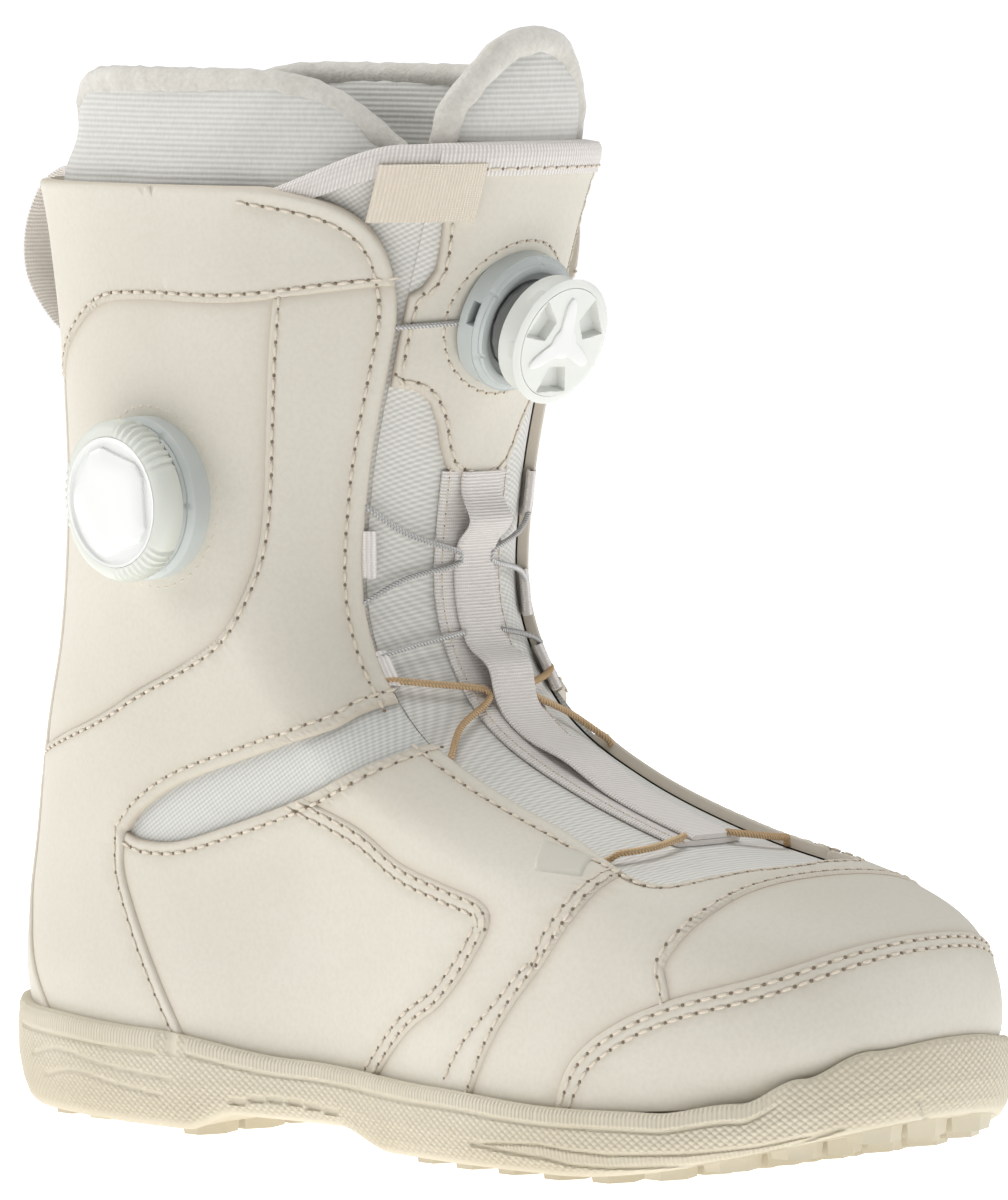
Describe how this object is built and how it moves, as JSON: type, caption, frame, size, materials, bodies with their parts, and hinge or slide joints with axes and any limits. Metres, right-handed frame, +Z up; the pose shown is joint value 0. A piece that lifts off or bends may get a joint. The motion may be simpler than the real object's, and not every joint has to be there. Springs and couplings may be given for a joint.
{
  "type": "snowboard boot",
  "caption": "Right snowboard boot with a leather shell, a hinged tongue, lacing dials on the shaft and tongue, a padded liner and a rubber cup sole.",
  "frame": {"origin": "on the ground at the centre of the heel tread, below the ankle", "axes": "+X towards the toe, +Y towards the inner ankle, +Z up"},
  "size_m": [0.2848, 0.1167, 0.266],
  "materials": {
    "leather": "matt synthetic leather",
    "stretch_fabric": "twill",
    "webbing": "grosgrain",
    "padding": "foam under knitted fabric and fleece",
    "sole_rubber": "matt",
    "grip_rubber": "ribbed",
    "dial_plastic": "satin",
    "dial_base_plastic": "satin",
    "fibre_board": "pressed fibre",
    "lace_grey": "smooth coated cord",
    "lace_tan": "braided cord",
    "steel": "brushed"
  },
  "bodies": {
    "shell": {"collar": "leather", "backstay": "leather", "toe_cap": "leather", "toe_top": "leather", "vamp": "leather", "front_quarter_lateral": "leather", "front_quarter_medial": "leather", "side_quarter_lateral": "leather", "side_quarter_medial": "leather", "shaft_lateral": "leather", "shaft_medial": "leather", "ankle_panel_lateral": "leather", "ankle_panel_medial": "leather", "flex_gusset_lateral": "stretch_fabric", "flex_gusset_medial": "stretch_fabric", "heel_counter": "fibre_board", "toe_puff": "fibre_board", "outsole": "sole_rubber", "midsole": "sole_rubber", "heel_cushion": "padding", "lasting_board": "fibre_board", "footbed": "padding", "liner_foot": "padding", "liner_cuff_lateral": "padding", "liner_cuff_medial": "padding", "tongue_wing_lateral": "stretch_fabric", "tongue_wing_medial": "stretch_fabric", "side_dial_base": "dial_base_plastic", "side_dial_screw": "steel", "pull_loop": "webbing", "lace_top_lateral": "lace_grey", "lace_upper_lateral": "lace_grey", "lace_middle_lateral": "lace_grey", "lace_lower_lateral": "lace_tan", "lace_toe_lateral": "lace_tan", "lace_top_medial": "lace_grey", "lace_upper_medial": "lace_grey", "lace_middle_medial": "lace_grey", "lace_lower_medial": "lace_tan", "lace_toe_medial": "lace_tan"},
    "tongue": {"tongue_base": "stretch_fabric", "tongue_panel": "leather", "tongue_strap": "webbing", "tongue_strap_top": "webbing", "tongue_binding": "webbing", "label_tab": "webbing", "front_dial_base": "dial_base_plastic", "front_dial_screw": "steel"},
    "liner_tongue": {"liner_tongue": "padding"},
    "side_spool": {"side_dial_spool": "dial_plastic"},
    "side_knob": {"side_dial_knob": "dial_plastic", "side_dial_grip": "grip_rubber", "side_dial_face": "dial_plastic"},
    "front_spool": {"front_dial_spool": "dial_plastic"},
    "front_knob": {"front_dial_knob": "dial_plastic", "front_dial_grip": "grip_rubber", "front_dial_face": "dial_plastic"}
  },
  "joints": [
    {"name": "tongue_open", "type": "hinge", "parent": "shell", "child": "tongue", "pos_m": [0.152, 0, 0.074], "axis": [0, 1, 0], "range_deg": [0, 20], "deforming": ["tongue_wing_lateral", "tongue_wing_medial", "lace_top_lateral", "lace_upper_lateral", "lace_middle_lateral", "lace_lower_lateral", "lace_toe_lateral", "lace_top_medial", "lace_upper_medial", "lace_middle_medial", "lace_lower_medial", "lace_toe_medial"]},
    {"name": "liner_tongue_open", "type": "hinge", "parent": "shell", "child": "liner_tongue", "pos_m": [0.152, 0, 0.074], "axis": [0, 1, 0], "range_deg": [0, 18]},
    {"name": "side_dial_spin", "type": "hinge", "parent": "shell", "child": "side_spool", "pos_m": [0.0105, -0.04638, 0.1534], "axis": [-0.0744, -0.9955, -0.059], "continuous": true},
    {"name": "side_dial_pull", "type": "slide", "parent": "side_spool", "child": "side_knob", "axis": [-0.0744, -0.9955, -0.059], "range_m": [0, 0.004]},
    {"name": "front_dial_spin", "type": "hinge", "parent": "tongue", "child": "front_spool", "pos_m": [0.08249, 0, 0.19619], "axis": [0.9499, 0, -0.3126], "continuous": true},
    {"name": "front_dial_pull", "type": "slide", "parent": "front_spool", "child": "front_knob", "axis": [0.9499, 0, -0.3126], "range_m": [-0.004, 0]}
  ],
  "couplings": [
    {"joint": "liner_tongue_open", "follows": "tongue_open", "ratio": 0.85}
  ]
}
